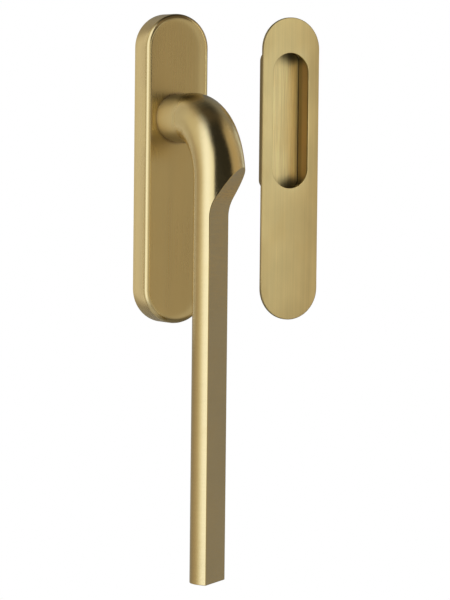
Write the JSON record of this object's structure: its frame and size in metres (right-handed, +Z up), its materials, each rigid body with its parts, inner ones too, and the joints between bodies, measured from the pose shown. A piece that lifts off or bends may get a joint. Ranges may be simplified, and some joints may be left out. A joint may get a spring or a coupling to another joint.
{
  "type": "lift and slide door handle",
  "caption": "Lever handle on a pill-shaped cover plate with a half-round grip, and a separate flush pull with a pill-shaped recess.",
  "frame": {"origin": "middle of the cover plate's back, on the door face", "axes": "+Z up, fronts face -Y, the spindle and bolts go into the door along +Y, +X towards the flush pull"},
  "size_m": [0.1473, 0.142, 0.3975],
  "materials": {
    "satin_brass": "satin, brushed lengthwise",
    "zinc_casting": "as cast, zinc plated",
    "plated_steel": "zinc plated",
    "bush_plastic": "matte",
    "seal_rubber": "matte"
  },
  "bodies": {
    "fixed_plates": {"cover_plate": "satin_brass", "pull_face_plate": "satin_brass", "pull_cup": "satin_brass", "base_plate": "zinc_casting", "bearing_bush": "bush_plastic", "pull_gasket": "seal_rubber", "through_bolt_upper": "plated_steel", "locating_sleeve_upper": "plated_steel", "threaded_post_upper": "plated_steel", "cover_clip_upper": "plated_steel", "clip_rivet_upper": "plated_steel", "through_bolt_lower": "plated_steel", "locating_sleeve_lower": "plated_steel", "threaded_post_lower": "plated_steel", "cover_clip_lower": "plated_steel", "clip_rivet_lower": "plated_steel"},
    "lever": {"lever_handle": "satin_brass", "spindle": "plated_steel", "spindle_grub_screw": "plated_steel", "slide_washer": "plated_steel", "retaining_ring": "plated_steel"}
  },
  "joints": [
    {"name": "lever_turn", "type": "hinge", "parent": "fixed_plates", "child": "lever", "pos_m": [0, 0, 0.036], "axis": [0, 1, 0], "range_deg": [0, 180]}
  ]
}
